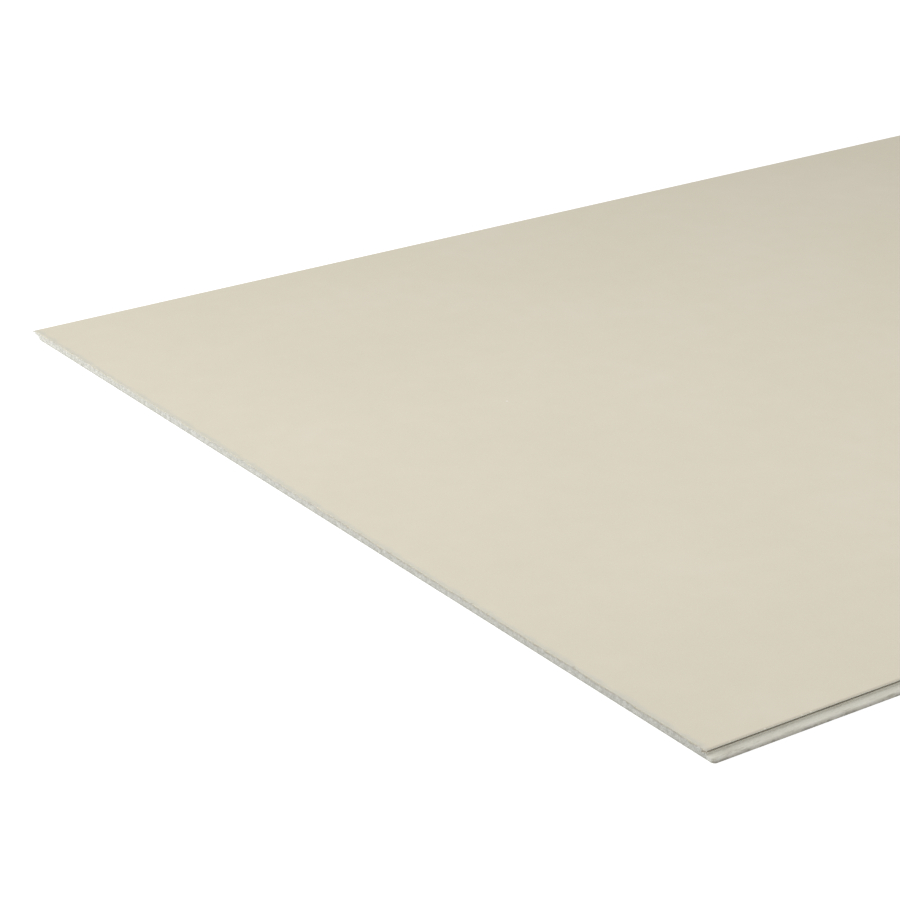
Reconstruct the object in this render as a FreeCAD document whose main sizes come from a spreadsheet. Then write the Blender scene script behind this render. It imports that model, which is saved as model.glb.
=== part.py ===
import FreeCAD, Part
import os

import Sketcher

# Large-format PVC wall panel: one sheet of rigid foamed PVC with a printed front.
#
# The sheet lies on its back. X runs along its length, Y across it and Z up through its thickness.
# The origin is the middle of the back, halfway between the outermost points of the two long edges.
#
# Both long edges are profiled so that neighbouring panels fit together:
# - the groove edge (-Y) has a thin groove that slants down under the front, and a lip that reaches out below it
# - the tongue edge (+Y) has a tongue that fits the groove, and a lap under it that takes the neighbour's lip
# The short ends are plain saw cuts.

# Driving dimensions, in millimetres.
SIZES = {
    "panel_length": 2600.0,
    "cover_width": 900.0,  # the front, from one long arris to the other
    "thickness": 6.0,
    "arris_bevel": 0.2,  # eased corner along both long sides of the front
    "top_lip": 0.6,  # the front down to the groove, at its mouth
    "groove_height": 1.1,
    "groove_depth": 4.7,  # inward from the arris
    "groove_fall": 1.1,  # how much lower the groove is at its inner end than at its mouth
    "groove_round": 0.3,  # radius of the groove's inner corners
    "lip_drop": 3.1,  # the front down to the top of the lip
    "lip_reach": 7.8,  # arris to the lip's outer end
    "lip_round": 1.6,  # radius of the lip's upper outer corner
    "foot_bevel": 0.15,  # bevel along the bottom corner of each long edge
    "joint_play": 0.1,  # gap above the tongue, below it, and around the step under it
    "tongue_play": 0.2,  # gap past the tongue's tip
    "lap_play": 0.3,  # gap past the lip's outer end
    "tongue_round": 0.35,  # radius of the tongue's corners
}

SAME_PLACE = 1e-4  # how near an edge must be to the place it is looked for, in millimetres


def size(name):
    """The expression that reads one driving dimension."""
    if name not in SIZES:
        raise KeyError(name)
    return f"sizes.{name}"


# Heights above the back, and reaches outward from an arris.
TOP = size("thickness")
PLAY = size("joint_play")
GROOVE_TOP = f"({TOP} - {size('top_lip')})"
GROOVE_BOTTOM = f"({GROOVE_TOP} - {size('groove_height')})"
LIP_TOP = f"({TOP} - {size('lip_drop')})"
TONGUE_TOP = f"({GROOVE_TOP} - {PLAY})"
TONGUE_BOTTOM = f"({GROOVE_BOTTOM} + {PLAY})"
TONGUE_REACH = f"({size('groove_depth')} - {size('tongue_play')})"
TONGUE_FALL = f"({size('groove_fall')} * {TONGUE_REACH} / {size('groove_depth')})"
LAP_REACH = f"({size('lip_reach')} + {size('lap_play')})"

# Places across the panel.
HALF_WIDTH = f"(({size('cover_width')} + {size('lip_reach')} + {TONGUE_REACH}) / 2)"
GROOVE_ARRIS = f"({size('lip_reach')} - {HALF_WIDTH})"
TONGUE_ARRIS = f"({HALF_WIDTH} - {TONGUE_REACH})"


def groove_side(reach, height):
    """A corner of the groove edge, as (Y, Z) expressions. Reach runs outward from its arris."""
    return f"{GROOVE_ARRIS} - ({reach})", height


def tongue_side(reach, height):
    """A corner of the tongue edge, as (Y, Z) expressions. Reach runs outward from its arris."""
    return f"{TONGUE_ARRIS} + ({reach})", height


CORNERS = {
    "groove_arris": groove_side("0", TOP),
    "groove_mouth_upper": groove_side("0", GROOVE_TOP),
    "groove_inner_upper": groove_side(f"-{size('groove_depth')}", f"{GROOVE_TOP} - {size('groove_fall')}"),
    "groove_inner_lower": groove_side(f"-{size('groove_depth')}", f"{GROOVE_BOTTOM} - {size('groove_fall')}"),
    "groove_mouth_lower": groove_side("0", GROOVE_BOTTOM),
    "lip_root": groove_side("0", LIP_TOP),
    "lip_shoulder": groove_side(size("lip_reach"), LIP_TOP),
    "lip_foot": groove_side(size("lip_reach"), "0"),
    "lap_foot": tongue_side(f"-{LAP_REACH}", "0"),
    "lap_root": tongue_side(f"-{LAP_REACH}", f"{LIP_TOP} + {PLAY}"),
    "step_foot": tongue_side(f"-{PLAY}", f"{LIP_TOP} + {PLAY}"),
    "tongue_root_lower": tongue_side(f"-{PLAY}", TONGUE_BOTTOM),
    "tongue_tip_lower": tongue_side(TONGUE_REACH, f"{TONGUE_BOTTOM} - {TONGUE_FALL}"),
    "tongue_tip_upper": tongue_side(TONGUE_REACH, f"{TONGUE_TOP} - {TONGUE_FALL}"),
    "tongue_root_upper": tongue_side("0", TONGUE_TOP),
    "tongue_arris": tongue_side("0", TOP),
}


def make_sheet(doc):
    """The spreadsheet that holds the driving dimensions."""
    sheet = doc.addObject("Spreadsheet::Sheet", "sizes")
    for row, (name, value) in enumerate(SIZES.items(), start=1):
        sheet.set(f"A{row}", name)
        sheet.set(f"B{row}", str(value))
        sheet.setAlias(f"B{row}", name)
    doc.recompute()


def number(body, expression):
    """The value an expression has now."""
    return float(body.evalExpression(expression))


def hold(sketch, kind, line, value, expression):
    """Holds a line's first point at its distance from the sketch's zero point."""
    if expression == "0":
        sketch.addConstraint(Sketcher.Constraint("PointOnObject", line, 1, -1))
        return
    index = sketch.addConstraint(Sketcher.Constraint(kind, -1, 1, line, 1, value))
    sketch.setExpression(f"Constraints[{index}]", expression)


def make_section(body):
    """The panel's cross-section with sharp corners, on the plane across its length."""
    sketch = body.newObject("Sketcher::SketchObject", "section")
    plane = next(f for f in body.Origin.OriginFeatures if f.Role == "YZ_Plane")
    sketch.AttachmentSupport = [(plane, "")]
    sketch.MapMode = "FlatFace"
    places = list(CORNERS.values())
    points = [FreeCAD.Vector(number(body, y), number(body, z), 0) for y, z in places]
    for i, point in enumerate(points):
        sketch.addGeometry(Part.LineSegment(point, points[(i + 1) % len(points)]))
    for i in range(len(points)):
        sketch.addConstraint(Sketcher.Constraint("Coincident", i, 2, (i + 1) % len(points), 1))
    for i, (y, z) in enumerate(places):
        hold(sketch, "DistanceX", i, points[i].x, y)
        hold(sketch, "DistanceY", i, points[i].y, z)
    return sketch


def run_section(body, sketch):
    """Extrudes the section, half to each side."""
    pad = body.newObject("PartDesign::Pad", "sheet")
    pad.Profile = sketch
    pad.SideType = "Symmetric"
    pad.setExpression("Length", size("panel_length"))
    body.Document.recompute()


def dress(body, kind, name, width, corners):
    """A fillet or chamfer along the panel, at the named corners of its section."""
    previous = body.Tip
    edges = []
    for corner in corners:
        y, z = (number(body, expression) for expression in CORNERS[corner])
        found = [
            f"Edge{i}"
            for i, edge in enumerate(previous.Shape.Edges, start=1)
            if all(abs(v.Y - y) < SAME_PLACE and abs(v.Z - z) < SAME_PLACE for v in edge.Vertexes)
        ]
        if len(found) != 1:
            raise RuntimeError(f"{name}: {len(found)} edges found at {corner}")
        edges += found
    feature = body.newObject(f"PartDesign::{kind}", name)
    feature.Base = (previous, edges)
    feature.setExpression("Radius" if kind == "Fillet" else "Size", size(width))
    body.Document.recompute()


def make_panel(doc):
    """The wall panel."""
    body = doc.addObject("PartDesign::Body", "wall_panel")
    body.Label = "wall_panel"
    body.Placement = FreeCAD.Placement()
    run_section(body, make_section(body))
    dress(body, "Fillet", "groove_fillet", "groove_round", ["groove_inner_upper", "groove_inner_lower"])
    dress(body, "Fillet", "lip_fillet", "lip_round", ["lip_shoulder"])
    dress(body, "Fillet", "tongue_fillet", "tongue_round", ["tongue_tip_lower", "tongue_tip_upper"])
    dress(body, "Chamfer", "arris_chamfer", "arris_bevel", ["groove_arris", "tongue_arris"])
    dress(body, "Chamfer", "foot_chamfer", "foot_bevel", ["lip_foot", "lap_foot"])
    return body


def check(doc):
    """Stops where any object failed to compute."""
    for obj in doc.Objects:
        if {"Invalid", "Error"} & set(obj.State):
            raise RuntimeError(f"{obj.Name}: {obj.State}")


def main():
    doc = FreeCAD.newDocument("wall_panel")
    make_sheet(doc)
    parts = [make_panel(doc)]
    doc.recompute()
    check(doc)
    os.makedirs("parts", exist_ok=True)
    for part in parts:
        shape = part.Shape
        if shape.isNull() or not shape.isValid() or len(shape.Solids) != 1:
            raise RuntimeError(f"{part.Label}: the shape is not one valid solid")
        shape.exportStep(f"parts/{part.Label}.step")
        box = shape.BoundBox
        print(f"{part.Label}: {box.XLength:.3f} x {box.YLength:.3f} x {box.ZLength:.3f} mm, {shape.Volume / 1000:.1f} cm3")


main()
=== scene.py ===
"""A large-format PVC wall panel lying on its back, printed front up.

The panel is one closed mesh. Its tongue-and-groove section runs along X, and both ends are rough saw cuts.
The section and the mesh are worked out in millimetres. The scene and its materials are in metres.
"""

import math
import random

import bpy
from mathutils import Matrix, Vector, geometry, kdtree, noise


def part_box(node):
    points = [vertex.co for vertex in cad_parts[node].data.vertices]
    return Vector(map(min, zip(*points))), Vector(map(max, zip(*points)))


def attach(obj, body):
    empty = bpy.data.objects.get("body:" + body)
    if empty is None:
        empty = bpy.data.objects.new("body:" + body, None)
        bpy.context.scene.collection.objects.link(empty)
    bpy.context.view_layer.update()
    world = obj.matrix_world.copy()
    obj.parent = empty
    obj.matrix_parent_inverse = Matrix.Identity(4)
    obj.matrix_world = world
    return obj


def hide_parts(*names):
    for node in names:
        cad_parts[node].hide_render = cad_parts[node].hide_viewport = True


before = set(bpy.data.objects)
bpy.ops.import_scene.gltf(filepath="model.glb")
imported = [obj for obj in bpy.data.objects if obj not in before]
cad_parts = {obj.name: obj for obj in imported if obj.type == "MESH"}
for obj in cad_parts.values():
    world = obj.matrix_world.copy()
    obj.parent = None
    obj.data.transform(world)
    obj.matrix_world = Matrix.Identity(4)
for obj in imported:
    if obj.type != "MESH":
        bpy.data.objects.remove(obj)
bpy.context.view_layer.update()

LOW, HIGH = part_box("wall_panel")
MM = 0.001
LENGTH = (HIGH.x - LOW.x) / MM
THICKNESS = (HIGH.z - LOW.z) / MM

# The section, in millimetres: the same values as the CAD part, but for TOOL_ROUND.
ARRIS_BEVEL = 0.2
TOP_LIP = 0.6
GROOVE_HEIGHT = 1.1
GROOVE_DEPTH = 4.7
GROOVE_FALL = 1.1
GROOVE_ROUND = 0.3
LIP_DROP = 3.1
LIP_REACH = 7.8
LIP_ROUND = 1.6
FOOT_BEVEL = 0.15
JOINT_PLAY = 0.1
TONGUE_PLAY = 0.2
LAP_PLAY = 0.3
TONGUE_ROUND = 0.35
TOOL_ROUND = 0.12  # the milling cutter's own corner, too small for the CAD part

GROOVE_TOP = THICKNESS - TOP_LIP
GROOVE_BOTTOM = GROOVE_TOP - GROOVE_HEIGHT
LIP_TOP = THICKNESS - LIP_DROP
TONGUE_TOP = GROOVE_TOP - JOINT_PLAY
TONGUE_BOTTOM = GROOVE_BOTTOM + JOINT_PLAY
TONGUE_REACH = GROOVE_DEPTH - TONGUE_PLAY
TONGUE_FALL = GROOVE_FALL * TONGUE_REACH / GROOVE_DEPTH
LAP_REACH = LIP_REACH + LAP_PLAY
GROOVE_ARRIS = LOW.y / MM + LIP_REACH
TONGUE_ARRIS = HIGH.y / MM - TONGUE_REACH

# The mesh.
ARC_STEPS = 8
COARSE_STEP = 60.0  # longest edge of the section away from the ends
FINE_STEP = 0.6  # and at the sawn ends
STATION_STEP = 50.0  # longest edge along the panel away from the ends
CUT_RINGS = (0.45, 0.9, 1.4, 2.0, 2.8, 5.0)  # distances of the fine rings from an end
LIP_WEAR = 2.4  # how far the lip's corner is worn off at an end, both along the panel and across it

# The saw cut.
CUT_DEPTH = 0.12  # how far in it lies on the whole
CUT_TOOTH = 0.1  # how far its fine roughness moves it
CUT_WAVE = 0.05  # and its long waves
LOOSE_ACROSS = 0.35  # how far the cut face's inner points stray from their grid, in steps of it
LOOSE_UP = 0.3
LOOSE_CLEAR = 0.6  # how far they stay from the outline, in fine steps
INSIDE_ONLY = 1  # the kind of triangulation that keeps to the inside of the outline
SAME_POINT = 1e-5
LOW_END_SEED = 11
HIGH_END_SEED = 29

# Chips of film along a saw cut.
CHIP_BASE = 0.3  # reach of the bare strip between chips
CHIP_LONG = 3.2  # further reach of the long chips where the edge is rough
CHIP_SHORT = 1.5  # and of the short chips everywhere
CHIP_SHORT_ROUGH = 2.6  # and of the short chips where the edge is rough
CHIP_FROM_ARRIS = 1.0  # the film is whole this near to an arris
CHIP_LIMIT = 2.7  # the furthest that the film has chipped off
CHIP_SLOPE = 0.35  # of the broken surface under a chip
CHIP_EDGE = 0.2  # a chip that reaches less than this past a ring leaves the film on

# Material slots of the panel.
FRONT, MILLED, BACK, SAWN = range(4)


def groove_side(reach, height, radius=0.0):
    """A corner on the groove edge: reach runs outward (-Y) from its arris."""
    return GROOVE_ARRIS - reach, height, radius


def tongue_side(reach, height, radius=0.0):
    """A corner on the tongue edge: reach runs outward (+Y) from its arris."""
    return TONGUE_ARRIS + reach, height, radius


def section_corners():
    """The section's corners as (y, z, radius), and the material of the surface after each."""
    return [
        (groove_side(-ARRIS_BEVEL, THICKNESS), MILLED),
        (groove_side(0.0, THICKNESS - ARRIS_BEVEL), MILLED),
        (groove_side(0.0, GROOVE_TOP, TOOL_ROUND), MILLED),
        (groove_side(-GROOVE_DEPTH, GROOVE_TOP - GROOVE_FALL, GROOVE_ROUND), MILLED),
        (groove_side(-GROOVE_DEPTH, GROOVE_BOTTOM - GROOVE_FALL, GROOVE_ROUND), MILLED),
        (groove_side(0.0, GROOVE_BOTTOM, TOOL_ROUND), MILLED),
        (groove_side(0.0, LIP_TOP, TOOL_ROUND), MILLED),
        (groove_side(LIP_REACH, LIP_TOP, LIP_ROUND), MILLED),
        (groove_side(LIP_REACH, FOOT_BEVEL), MILLED),
        (groove_side(LIP_REACH - FOOT_BEVEL, 0.0), BACK),
        (tongue_side(-LAP_REACH - FOOT_BEVEL, 0.0), MILLED),
        (tongue_side(-LAP_REACH, FOOT_BEVEL), MILLED),
        (tongue_side(-LAP_REACH, LIP_TOP + JOINT_PLAY, TOOL_ROUND), MILLED),
        (tongue_side(-JOINT_PLAY, LIP_TOP + JOINT_PLAY, TOOL_ROUND), MILLED),
        (tongue_side(-JOINT_PLAY, TONGUE_BOTTOM, TOOL_ROUND), MILLED),
        (tongue_side(TONGUE_REACH, TONGUE_BOTTOM - TONGUE_FALL, TONGUE_ROUND), MILLED),
        (tongue_side(TONGUE_REACH, TONGUE_TOP - TONGUE_FALL, TONGUE_ROUND), MILLED),
        (tongue_side(0.0, TONGUE_TOP, TOOL_ROUND), MILLED),
        (tongue_side(0.0, THICKNESS - ARRIS_BEVEL), MILLED),
        (tongue_side(-ARRIS_BEVEL, THICKNESS), FRONT),
    ]


def rounded(corners):
    """The outline as [(point, material of the surface after it)], with an arc at each rounded corner."""
    outline = []
    count = len(corners)
    for i, ((y, z, radius), surface) in enumerate(corners):
        here = Vector((y, z))
        if not radius:
            outline.append((here, surface))
            continue
        before = corners[i - 1]
        after = corners[(i + 1) % count][0]
        towards = (Vector(before[0][:2]) - here).normalized()
        away = (Vector(after[:2]) - here).normalized()
        half = towards.angle(away) / 2
        centre = here + (towards + away).normalized() * radius / math.sin(half)
        start = here + towards * radius / math.tan(half) - centre
        end = here + away * radius / math.tan(half) - centre
        for step in range(ARC_STEPS + 1):
            spoke = start.slerp(end, step / ARC_STEPS) * radius  # slerp gives unit vectors
            outline.append((centre + spoke, surface if step == ARC_STEPS else before[1]))
    return outline


def divided(outline, coarse, fine):
    """The outline cut into edges no longer than fine, and which of its points coarse edges keep."""
    points, kept = [], []
    for i, (start, surface) in enumerate(outline):
        end = outline[(i + 1) % len(outline)][0]
        run = (end - start).length
        spans = max(1, math.ceil(run / coarse))
        cuts = max(1, math.ceil(run / spans / fine))
        for j in range(spans * cuts):
            if j % cuts == 0:
                kept.append(len(points))
            points.append((start.lerp(end, j / (spans * cuts)), surface))
    return points, kept


class Builder:
    """Collects the panel's vertices and faces."""

    def __init__(self):
        self.points, self.faces, self.surfaces = [], [], []

    def add(self, x, y, z):
        self.points.append((x * MM, y * MM, z * MM))
        return len(self.points) - 1

    def face(self, corners, surface):
        self.faces.append(corners)
        self.surfaces.append(surface)

    def bridge(self, first, second, surfaces):
        """Joins two rings of as many points."""
        count = len(first)
        for i in range(count):
            j = (i + 1) % count
            self.face((first[i], first[j], second[j], second[i]), surfaces[i])

    def mesh(self, name):
        data = bpy.data.meshes.new(name)
        data.from_pydata(self.points, [], self.faces)
        data.polygons.foreach_set("material_index", self.surfaces)
        data.validate()
        data.update()
        return data


def roughness_of_cut(y, z, seed):
    """How far the saw has cut in at a point of an end, in millimetres, from 0 up."""
    at = Vector((y, z, seed))
    tooth = noise.fractal(at * 0.9, 0.7, 2.1, 4)
    wave = noise.noise(at * 0.05)
    return max(0.0, CUT_DEPTH + CUT_TOOTH * tooth + CUT_WAVE * wave)


def chip_reach(y, seed):
    """How far from an end the film has chipped off at a place along it, in millimetres."""
    rough = max(0.0, noise.noise(Vector((y * 0.012, seed, 5.0))) + 0.25)
    long_chips = noise.noise(Vector((y * 0.07, seed, 3.0)))
    short_chips = noise.noise(Vector((y * 0.28, seed, 1.0)))
    reach = CHIP_BASE + CHIP_LONG * rough * max(0.0, long_chips + 0.1)
    reach += (CHIP_SHORT + CHIP_SHORT_ROUGH * rough) * short_chips
    from_arris = min(y - GROOVE_ARRIS, TONGUE_ARRIS - y) - CHIP_FROM_ARRIS
    return min(max(0.0, reach), max(0.0, from_arris), CHIP_LIMIT)


def sawn_end(builder, side, outline, fine, seed):
    """One rough end: a triangulated cut face and the fine rings behind it. Gives the last ring's points."""
    picker = random.Random(seed)
    at_end = side * LENGTH / 2

    def place(y, z, inset):
        """A vertex near the end, lowered under a chip and drawn in at the lip's worn corner."""
        drop = CHIP_SLOPE * max(0.0, chip_reach(y, seed) - inset)
        share_of_drop = max(0.0, z / THICKNESS * 2 - 1)
        depth = inset or roughness_of_cut(y, z, seed)
        along_lip = max(0.0, (GROOVE_ARRIS - y) / LIP_REACH)
        worn = LIP_WEAR * max(0.0, 1.0 - inset / LIP_WEAR) ** 2 * along_lip ** 3
        return builder.add(at_end - side * depth, y + worn, z - drop * share_of_drop)

    insets = (0.0, *CUT_RINGS)
    rings = [[place(point.x, point.y, inset) for point, _ in outline] for inset in insets]
    for first, second, inset in zip(rings, rings[1:], insets):
        surfaces = []
        for point, surface in outline:
            bare = surface == FRONT and chip_reach(point.x, seed) > inset + CHIP_EDGE
            surfaces.append(SAWN if bare else surface)
        pair = (first, second) if side < 0 else (second, first)
        builder.bridge(*pair, surfaces)

    # The cut face: its outline, and loose points inside it that stay clear of the outline.
    flat = [point for point, _ in outline]
    nearest = kdtree.KDTree(len(flat))
    for i, point in enumerate(flat):
        nearest.insert(point.to_3d(), i)
    nearest.balance()
    rows = int(THICKNESS / fine)
    columns = int((HIGH.y - LOW.y) / MM / fine)
    inner = []
    for row in range(1, rows):
        for column in range(1, columns):
            y = LOW.y / MM + (column + picker.uniform(-LOOSE_ACROSS, LOOSE_ACROSS)) * fine
            z = (row + picker.uniform(-LOOSE_UP, LOOSE_UP)) * THICKNESS / rows
            if nearest.find((y, z, 0.0))[2] > LOOSE_CLEAR * fine:
                inner.append(Vector((y, z)))
    places, _, triangles, origins, _, _ = geometry.delaunay_2d_cdt(
        flat + inner, [], [list(range(len(flat)))], INSIDE_ONLY, SAME_POINT
    )
    numbers = {}
    for triangle in triangles:
        for i in triangle:
            if i in numbers:
                continue
            if origins[i][0] < len(flat):
                numbers[i] = rings[0][origins[i][0]]
            else:
                numbers[i] = place(places[i].x, places[i].y, 0.0)
        corners = [numbers[i] for i in triangle]
        builder.face(corners if side > 0 else corners[::-1], SAWN)
    return rings[-1]


def make_panel(materials):
    """The whole panel as one closed mesh."""
    outline, kept = divided(rounded(section_corners()), COARSE_STEP, FINE_STEP)
    surfaces = [surface for _, surface in outline]
    builder = Builder()
    low_end = sawn_end(builder, -1, outline, FINE_STEP, LOW_END_SEED)
    high_end = sawn_end(builder, 1, outline, FINE_STEP, HIGH_END_SEED)

    # The plain run between the ends.
    reach = LENGTH / 2 - CUT_RINGS[-1]
    count = math.ceil(2 * reach / STATION_STEP)
    coarse = [outline[i] for i in kept]
    rings = []
    for station in range(1, count):
        x = -reach + 2 * reach * station / count
        rings.append([builder.add(x, point.x, point.y) for point, _ in coarse])
    for first, second in zip(rings, rings[1:]):
        builder.bridge(first, second, [surface for _, surface in coarse])

    # Each coarse edge meets the fine edges of the end's last ring.
    for fine_ring, ring, side in ((low_end, rings[0], -1), (high_end, rings[-1], 1)):
        for i, start in enumerate(kept):
            j = (i + 1) % len(kept)
            stop = kept[j] if j else len(outline)
            run = [fine_ring[k % len(outline)] for k in range(start, stop + 1)]
            corners = run + [ring[j], ring[i]]
            builder.face(corners if side < 0 else corners[::-1], surfaces[start])

    panel = bpy.data.objects.new("panel", builder.mesh("panel"))
    bpy.context.scene.collection.objects.link(panel)
    for material in materials:
        panel.data.materials.append(material)
    return panel


# Materials.


def linear(red, green, blue):
    """An sRGB colour, 0 to 255, as the linear colour that a shader takes."""
    return tuple(
        (c / 12.92 if c <= 0.04045 else ((c + 0.055) / 1.055) ** 2.4)
        for c in (red / 255, green / 255, blue / 255)
    ) + (1.0,)


# The colour sockets of a Mix node.
MIX_FIRST, MIX_SECOND, MIX_RESULT = 6, 7, 2


class Nodes:
    """Builds one material's node tree in object coordinates."""

    def __init__(self, name):
        self.material = bpy.data.materials.new(name)
        self.material.use_nodes = True
        self.tree = self.material.node_tree
        self.shader = self.tree.nodes["Principled BSDF"]
        self.where = self.tree.nodes.new("ShaderNodeTexCoord").outputs["Object"]
        parts = self.node("ShaderNodeSeparateXYZ", Vector=self.where).outputs
        self.along, self.across, self.height = parts["X"], parts["Y"], parts["Z"]

    def node(self, kind, **inputs):
        made = self.tree.nodes.new(kind)
        for name, value in inputs.items():
            self.set(made.inputs[name], value)
        return made

    def set(self, socket, value):
        if isinstance(value, bpy.types.NodeSocket):
            self.tree.links.new(value, socket)
        else:
            socket.default_value = value

    def stretched(self, x, y, z):
        """Object coordinates multiplied along each axis."""
        mapping = self.node("ShaderNodeMapping", Vector=self.where)
        mapping.inputs["Scale"].default_value = (x, y, z)
        return mapping.outputs["Vector"]

    def noise(self, scale, detail=2.0, roughness=0.5, where=None):
        made = self.node("ShaderNodeTexNoise", Vector=where or self.where, Scale=scale)
        self.set(made.inputs["Detail"], detail)
        self.set(made.inputs["Roughness"], roughness)
        return made.outputs["Fac"]

    def spread(self, value, low, high, to_low=0.0, to_high=1.0):
        """A value's range from low to high, spread over another range and held there."""
        made = self.node("ShaderNodeMapRange", Value=value)
        made.clamp = True
        ends = {"From Min": low, "From Max": high, "To Min": to_low, "To Max": to_high}
        for name, number in ends.items():
            made.inputs[name].default_value = number
        return made.outputs["Result"]

    def maths(self, operation, *values):
        made = self.tree.nodes.new("ShaderNodeMath")
        made.operation = operation
        for socket, value in zip(made.inputs, values):
            self.set(socket, value)
        return made.outputs["Value"]

    def mix(self, share, first, second):
        made = self.tree.nodes.new("ShaderNodeMix")
        made.data_type = "RGBA"
        self.set(made.inputs["Factor"], share)
        self.set(made.inputs[MIX_FIRST], first)
        self.set(made.inputs[MIX_SECOND], second)
        return made.outputs[MIX_RESULT]

    def bump(self, height, distance, strength, below=None):
        made = self.node("ShaderNodeBump", Height=height, Strength=strength, Distance=distance)
        if below is not None:
            self.tree.links.new(below, made.inputs["Normal"])
        return made.outputs["Normal"]

    def finish(self, colour, roughness, normal):
        self.set(self.shader.inputs["Base Color"], colour)
        self.set(self.shader.inputs["Roughness"], roughness)
        self.set(self.shader.inputs["Normal"], normal)
        return self.material


# The printed film. Distances are in millimetres.
FILM_DARK = linear(217, 210, 192)
FILM_LIGHT = linear(220, 213, 197)
FILM_PATCH = linear(213, 206, 187)
FILM_GRAIN = linear(224, 218, 201)
FILM_DUST = linear(236, 233, 224)
FILM_GREYED = linear(202, 202, 192)
FILM_PAINTED_SHADE = linear(140, 132, 116)
FILM_NICKED = linear(238, 235, 224)
GREY_STARTS = 5.5  # from a sawn end
GREY_FULL = 0.5
GREY_WANDER = 0.0015  # in metres
SHADE_WIDTH = 2.6  # of the line of painted shade along the groove edge's arris
NICK_FULL = 0.8  # from that arris
NICK_ENDS = 2.0


def printed_front():
    """The plain beige printed film: matt, very faintly clouded, finely embossed, with a few dust specks.

    It is greyed beside the saw cuts, and has painted shade along the groove edge's arris, with pale nicks.
    """
    n = Nodes("printed front")
    n.shader.inputs["Specular IOR Level"].default_value = 0.0
    clouds = n.spread(n.noise(5.0, 3.0, 0.55), 0.3, 0.7)
    patches = n.spread(n.noise(45.0, 3.0, 0.6), 0.3, 0.7)
    grain = n.noise(1400.0, 1.0)
    colour = n.mix(clouds, FILM_DARK, FILM_LIGHT)
    colour = n.mix(n.maths("MULTIPLY", patches, 0.35), colour, FILM_PATCH)
    colour = n.mix(n.maths("MULTIPLY", n.spread(grain, 0.35, 0.65), 0.25), colour, FILM_GRAIN)

    # One cell in eight or so holds a speck of dust.
    cells = n.node("ShaderNodeTexVoronoi", Vector=n.where, Scale=16.0)
    close = n.spread(cells.outputs["Distance"], 0.008, 0.02, 1.0, 0.0)
    cell_number = n.node("ShaderNodeSeparateColor", Color=cells.outputs["Color"]).outputs["Red"]
    chosen = n.spread(cell_number, 0.12, 0.13, 1.0, 0.0)
    speck = n.maths("MULTIPLY", close, chosen)
    colour = n.mix(speck, colour, FILM_DUST)

    # Greyed by the saw.
    wander = n.noise(1.0, 3.0, 0.65, n.stretched(60.0, 70.0, 0.0))
    wander = n.spread(wander, 0.35, 0.65, -GREY_WANDER, GREY_WANDER)
    from_middle = n.maths("ADD", n.maths("ABSOLUTE", n.along), wander)
    greyed = n.spread(from_middle, (LENGTH / 2 - GREY_STARTS) * MM, (LENGTH / 2 - GREY_FULL) * MM, 0.0, 0.75)
    colour = n.mix(greyed, colour, FILM_GREYED)

    # Painted shade and pale nicks along the groove edge's arris.
    arris_painted_shade = n.spread(n.across, GROOVE_ARRIS * MM, (GROOVE_ARRIS + SHADE_WIDTH) * MM, 0.45, 0.0)
    colour = n.mix(arris_painted_shade, colour, FILM_PAINTED_SHADE)
    dents = n.spread(n.noise(1.0, 2.0, 0.6, n.stretched(260.0, 0.0, 0.0)), 0.6, 0.66)
    by_arris = n.spread(n.across, (GROOVE_ARRIS + NICK_FULL) * MM, (GROOVE_ARRIS + NICK_ENDS) * MM, 0.7, 0.0)
    colour = n.mix(n.maths("MULTIPLY", dents, by_arris), colour, FILM_NICKED)

    roughness = n.spread(n.noise(60.0, 3.0), 0.3, 0.7, 0.42, 0.5)
    emboss = n.bump(n.noise(900.0, 2.0), 0.00003, 0.5)
    normal = n.bump(speck, 0.0001, 0.6, emboss)
    return n.finish(colour, roughness, normal)


# The sawn foam. Heights and distances are in metres.
SAWN_DARK = linear(182, 181, 174)
SAWN_LIGHT = linear(216, 215, 209)
SAWN_CRUMB = linear(160, 159, 150)
SAWN_DRIFT = linear(186, 185, 175)
SAWN_PORE = linear(142, 141, 133)
SAWN_LIP = linear(226, 225, 217)
SAWN_LINE = linear(160, 153, 136)
SAWN_FILM = linear(200, 195, 178)
SAWN_FOOT_SHADE = linear(150, 149, 141)
DRAG_LEAST = 0.0001  # how far down from the front the saw has dragged the film
DRAG_MOST = 0.0013
LINE_FADE_STARTS = -0.08  # across the panel: the brownish line under the film fades from here
LINE_FADE_ENDS = 0.1  # to here


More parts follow.
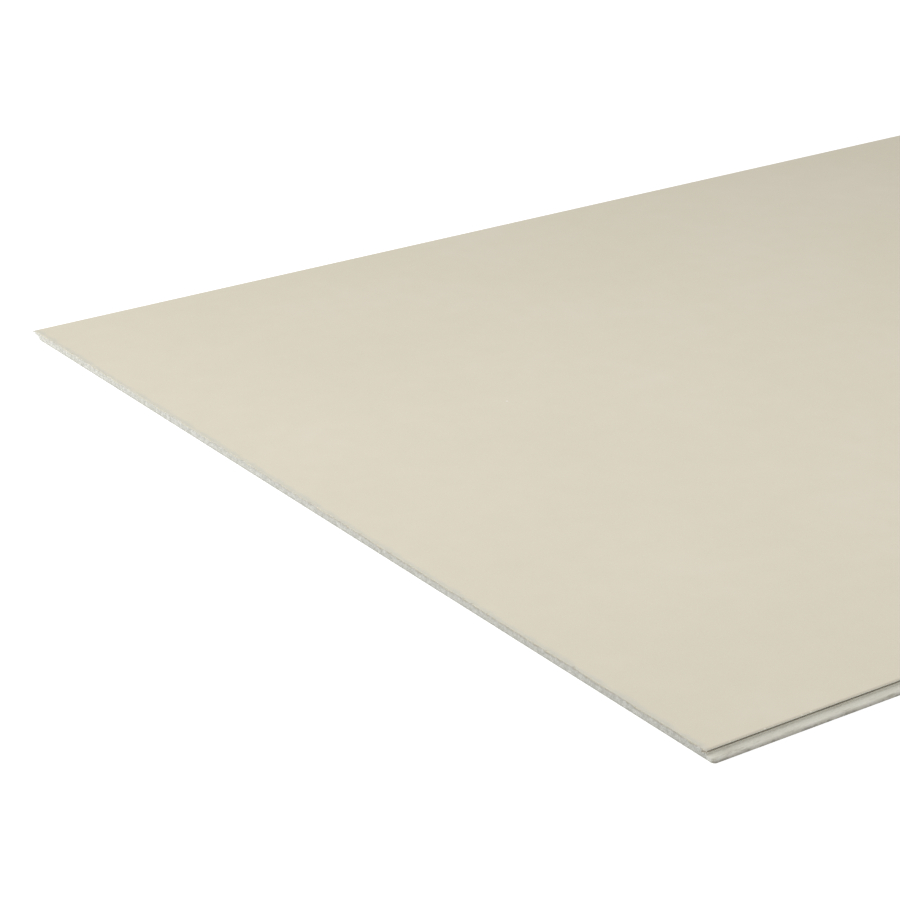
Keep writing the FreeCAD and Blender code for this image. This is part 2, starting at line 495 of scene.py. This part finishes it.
def sawn_core():
    """The cut foam core: dry grey-white crumb in patches, with film dragged over its top edge by the saw."""
    n = Nodes("sawn core")
    n.shader.inputs["Specular IOR Level"].default_value = 0.25
    patches = n.noise(260.0, 2.0, 0.5)
    crumb = n.noise(900.0, 3.0, 0.65)
    drift = n.noise(14.0, 2.0)
    colour = n.mix(n.spread(patches, 0.3, 0.7), SAWN_DARK, SAWN_LIGHT)
    colour = n.mix(n.spread(crumb, 0.35, 0.6, 0.6, 0.0), colour, SAWN_CRUMB)
    colour = n.mix(n.spread(drift, 0.35, 0.65, 0.3, 0.0), colour, SAWN_DRIFT)
    pores = n.node("ShaderNodeTexVoronoi", Vector=n.where, Scale=1100.0)
    pore = n.spread(pores.outputs["Distance"], 0.12, 0.3, 1.0, 0.0)
    colour = n.mix(n.maths("MULTIPLY", pore, 0.25), colour, SAWN_PORE)
    on_lip = n.spread(n.across, (GROOVE_ARRIS - 1.0) * MM, GROOVE_ARRIS * MM, 0.55, 0.0)
    colour = n.mix(on_lip, colour, SAWN_LIP)

    # Downward from the front: the dragged film, a brownish line under it, and painted shade at the bottom
    # corner.
    below = n.maths("SUBTRACT", THICKNESS * MM, n.height)
    drag = n.noise(1.0, 3.0, 0.6, n.stretched(0.0, 40.0, 0.0))
    past = n.maths("SUBTRACT", below, n.spread(drag, 0.42, 0.72, DRAG_LEAST, DRAG_MOST))
    ragged = n.spread(n.noise(1.0, 2.0, 0.6, n.stretched(0.0, 160.0, 0.0)), 0.4, 0.6, 0.15, 0.8)
    line = n.maths("MULTIPLY", n.spread(past, 0.0005, 0.0016, 1.0, 0.0), ragged)
    line = n.maths("MULTIPLY", line, n.spread(n.across, LINE_FADE_STARTS, LINE_FADE_ENDS, 1.0, 0.15))
    colour = n.mix(line, colour, SAWN_LINE)
    colour = n.mix(n.spread(past, -0.0003, 0.0004, 1.0, 0.0), colour, SAWN_FILM)
    # Painted shade, darker towards the bottom edge.
    colour = n.mix(n.spread(n.height, 0.0002, 0.0012, 0.45, 0.0), colour, SAWN_FOOT_SHADE)
    normal = n.bump(crumb, 0.0004, 0.6, n.bump(pore, 0.0002, 0.5))
    return n.finish(colour, n.spread(crumb, 0.3, 0.7, 0.9, 0.75), normal)


# The milled long edges. Heights and distances are in metres.
MILLED_DARK = linear(213, 211, 199)
MILLED_LIGHT = linear(222, 220, 209)
MILLED_LINES = linear(198, 196, 184)
MILLED_BLOTCH = linear(196, 189, 174)
MILLED_GROOVE_PAINTED_LIGHT = linear(242, 235, 219)
MILLED_SMUDGE = linear(168, 163, 149)
MILLED_NICK = linear(238, 236, 228)
MILLED_FOOT_SHADE = linear(150, 147, 136)
RIM_FULL = 0.0024  # the smudged part of the lip, from its outer end
RIM_ENDS = 0.0036
FOOT_SHADE_TALLEST = 0.0016


def milled_core():
    """The milled long edges: smoother, paler core with smudges, nicks, painted light in the groove and
    painted shade along the foot.
    """
    n = Nodes("milled core")
    n.shader.inputs["Specular IOR Level"].default_value = 0.25
    lines = n.noise(1.0, 2.0, where=n.stretched(12.0, 2600.0, 2600.0))
    crumb = n.noise(700.0, 3.0, 0.6)
    blotches = n.noise(1.0, 3.0, 0.6, n.stretched(60.0, 220.0, 220.0))
    colour = n.mix(n.spread(crumb, 0.3, 0.7), MILLED_DARK, MILLED_LIGHT)
    colour = n.mix(n.maths("MULTIPLY", n.spread(lines, 0.4, 0.7), 0.2), colour, MILLED_LINES)
    colour = n.mix(n.spread(blotches, 0.48, 0.72, 0.0, 0.5), colour, MILLED_BLOTCH)

    # Painted light inside the groove, which is inward of the arris on the groove edge's half of the panel: a
    # paler colour that lifts the groove's shade.
    groove_painted_light = n.spread(n.across, GROOVE_ARRIS * MM, (GROOVE_ARRIS + 1.0) * MM)
    groove_painted_light = n.maths("MULTIPLY", groove_painted_light, n.spread(n.across, 0.0, MM, 0.5, 0.0))
    colour = n.mix(groove_painted_light, colour, MILLED_GROOVE_PAINTED_LIGHT)

    # Smudges on the outer part of the lip.
    smudges = n.noise(1.0, 3.0, 0.65, n.stretched(70.0, 320.0, 320.0))
    smudges = n.spread(smudges, 0.52, 0.66, 0.0, 0.6)
    rim = n.spread(n.across, LOW.y + RIM_FULL, LOW.y + RIM_ENDS, 1.0, 0.0)
    colour = n.mix(n.maths("MULTIPLY", smudges, rim), colour, MILLED_SMUDGE)

    # Nicks along the front's corner.
    along = n.noise(1.0, 2.0, 0.6, n.stretched(320.0, 0.0, 0.0))
    near_front = n.spread(n.height, (THICKNESS - 0.5) * MM, (THICKNESS - 0.3) * MM)
    nick = n.maths("MULTIPLY", near_front, n.spread(along, 0.62, 0.68))
    colour = n.mix(nick, colour, MILLED_NICK)

    # Painted shade along the foot, of uneven height.
    lumps = n.noise(1.0, 3.0, 0.6, n.stretched(150.0, 30.0, 30.0))
    past_foot_shade = n.maths("SUBTRACT", n.height, n.spread(lumps, 0.4, 0.75, 0.0, FOOT_SHADE_TALLEST))
    low = n.spread(past_foot_shade, 0.0002, 0.001, 1.0, 0.0)
    foot_shade = n.maths("MULTIPLY", low, n.spread(lumps, 0.4, 0.6))
    colour = n.mix(n.maths("MULTIPLY", foot_shade, 0.6), colour, MILLED_FOOT_SHADE)
    normal = n.bump(lines, 0.00005, 0.5, n.bump(crumb, 0.0001, 0.4))
    return n.finish(colour, n.spread(crumb, 0.3, 0.7, 0.75, 0.62), normal)


# The back.
BACK_DARK = linear(206, 204, 197)
BACK_LIGHT = linear(213, 211, 204)
BACK_LINES = linear(199, 197, 189)


def plain_back():
    """The unprinted back: the board's own pale skin with faint lines from the rollers."""
    n = Nodes("plain back")
    clouds = n.spread(n.noise(7.0, 4.0, 0.6), 0.3, 0.7)
    lines = n.noise(1.0, 3.0, where=n.stretched(0.8, 260.0, 1.0))
    grain = n.noise(800.0, 2.0)
    colour = n.mix(clouds, BACK_DARK, BACK_LIGHT)
    colour = n.mix(n.maths("MULTIPLY", n.spread(lines, 0.4, 0.7), 0.3), colour, BACK_LINES)
    normal = n.bump(lines, 0.00012, 0.4, n.bump(grain, 0.00004, 0.5))
    return n.finish(colour, n.spread(clouds, 0.0, 1.0, 0.48, 0.56), normal)


# The stage, camera and light.

CAMERA_HEIGHT = 0.8508
CAMERA_BACK = 1.4994  # level along the view, from the panel's corner at -X and -Y
CAMERA_LEFT = 0.1628
CAMERA_AZIMUTH = math.radians(-35.03)
CAMERA_ELEVATION = math.radians(23.106)
LENS = 111.0

WORLD_LIGHT = 0.6
FLOOR_REACH = 9.0
FLOOR_GAP = 0.02 * MM  # under the panel
FLOOR_GREY = 0.55
FLOOR_GLOW = 0.7  # only where the floor is seen, so that it looks white


def seen_directly(tree):
    """1 where a surface is seen, straight, mirrored or through glass, and 0 for the light that it gives."""
    path = tree.nodes.new("ShaderNodeLightPath").outputs
    seen = path["Is Camera Ray"]
    for kind in ("Is Glossy Ray", "Is Transmission Ray"):
        either = tree.nodes.new("ShaderNodeMath")
        either.operation = "MAXIMUM"
        tree.links.new(seen, either.inputs[0])
        tree.links.new(path[kind], either.inputs[1])
        seen = either.outputs["Value"]
    return seen


def make_floor():
    """A floor that looks white and keeps the panel's soft shadow."""
    reach = FLOOR_REACH
    corners = [(-reach, -reach, 0), (reach, -reach, 0), (reach, reach, 0), (-reach, reach, 0)]
    data = bpy.data.meshes.new("floor")
    data.from_pydata(corners, [], [(0, 1, 2, 3)])
    floor = bpy.data.objects.new("floor", data)
    floor.location.z = LOW.z - FLOOR_GAP
    bpy.context.scene.collection.objects.link(floor)
    n = Nodes("floor")
    n.shader.inputs["Base Color"].default_value = (FLOOR_GREY, FLOOR_GREY, FLOOR_GREY, 1)
    n.shader.inputs["Roughness"].default_value = 0.9
    n.shader.inputs["Specular IOR Level"].default_value = 0.0
    n.shader.inputs["Emission Color"].default_value = (1, 1, 1, 1)
    glow = n.maths("MULTIPLY", seen_directly(n.tree), FLOOR_GLOW)
    n.set(n.shader.inputs["Emission Strength"], glow)
    data.materials.append(n.material)


def make_world():
    """A white surround that lights evenly and is seen as plain white."""
    world = bpy.data.worlds.new("studio")
    world.use_nodes = True
    tree = world.node_tree
    background = tree.nodes["Background"]
    level = tree.nodes.new("ShaderNodeMapRange")
    level.inputs["To Min"].default_value = WORLD_LIGHT
    level.inputs["To Max"].default_value = 1.0
    tree.links.new(seen_directly(tree), level.inputs["Value"])
    background.inputs["Color"].default_value = (1, 1, 1, 1)
    tree.links.new(level.outputs["Result"], background.inputs["Strength"])
    bpy.context.scene.world = world


def make_lamp(name, place, target, width, height, power):
    """A soft rectangular lamp."""
    lamp = bpy.data.lights.new(name, "AREA")
    lamp.shape = "RECTANGLE"
    lamp.size = width
    lamp.size_y = height
    lamp.energy = power
    holder = bpy.data.objects.new(name, lamp)
    holder.location = place
    holder.rotation_euler = (Vector(target) - Vector(place)).to_track_quat("-Z", "Y").to_euler()
    bpy.context.scene.collection.objects.link(holder)


def make_camera():
    """The camera, beyond the panel's corner at -X and -Y, looking down along the front."""
    right = Vector((math.cos(CAMERA_AZIMUTH), math.sin(CAMERA_AZIMUTH), 0))
    ahead = Vector((-math.sin(CAMERA_AZIMUTH), math.cos(CAMERA_AZIMUTH), 0))
    corner = Vector((LOW.x, LOW.y, LOW.z))
    data = bpy.data.cameras.new("camera")
    data.lens = LENS
    data.clip_end = 100
    camera = bpy.data.objects.new("camera", data)
    level = corner - ahead * CAMERA_BACK - right * CAMERA_LEFT
    camera.location = level + Vector((0, 0, CAMERA_HEIGHT))
    camera.rotation_euler = (math.pi / 2 - CAMERA_ELEVATION, 0, CAMERA_AZIMUTH)
    bpy.context.scene.collection.objects.link(camera)
    bpy.context.scene.camera = camera


panel = make_panel([printed_front(), milled_core(), plain_back(), sawn_core()])
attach(panel, "root")
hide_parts("wall_panel")

make_floor()
make_world()
make_lamp("overhead", (-1.06, -0.14, 0.96), (-1.06, -0.139, 0.0), width=1.4, height=1.2, power=4.0)
make_lamp("right", (1.35, 0.0, 1.2), (1.35, 0.001, 0.0), width=1.6, height=1.2, power=2.6)
make_lamp("left", (-2.6, 0.88, 0.35), (-1.2, 0.3, 0.0), width=1.6, height=0.8, power=23.5)
make_camera()
bpy.context.scene.view_settings.view_transform = "Standard"
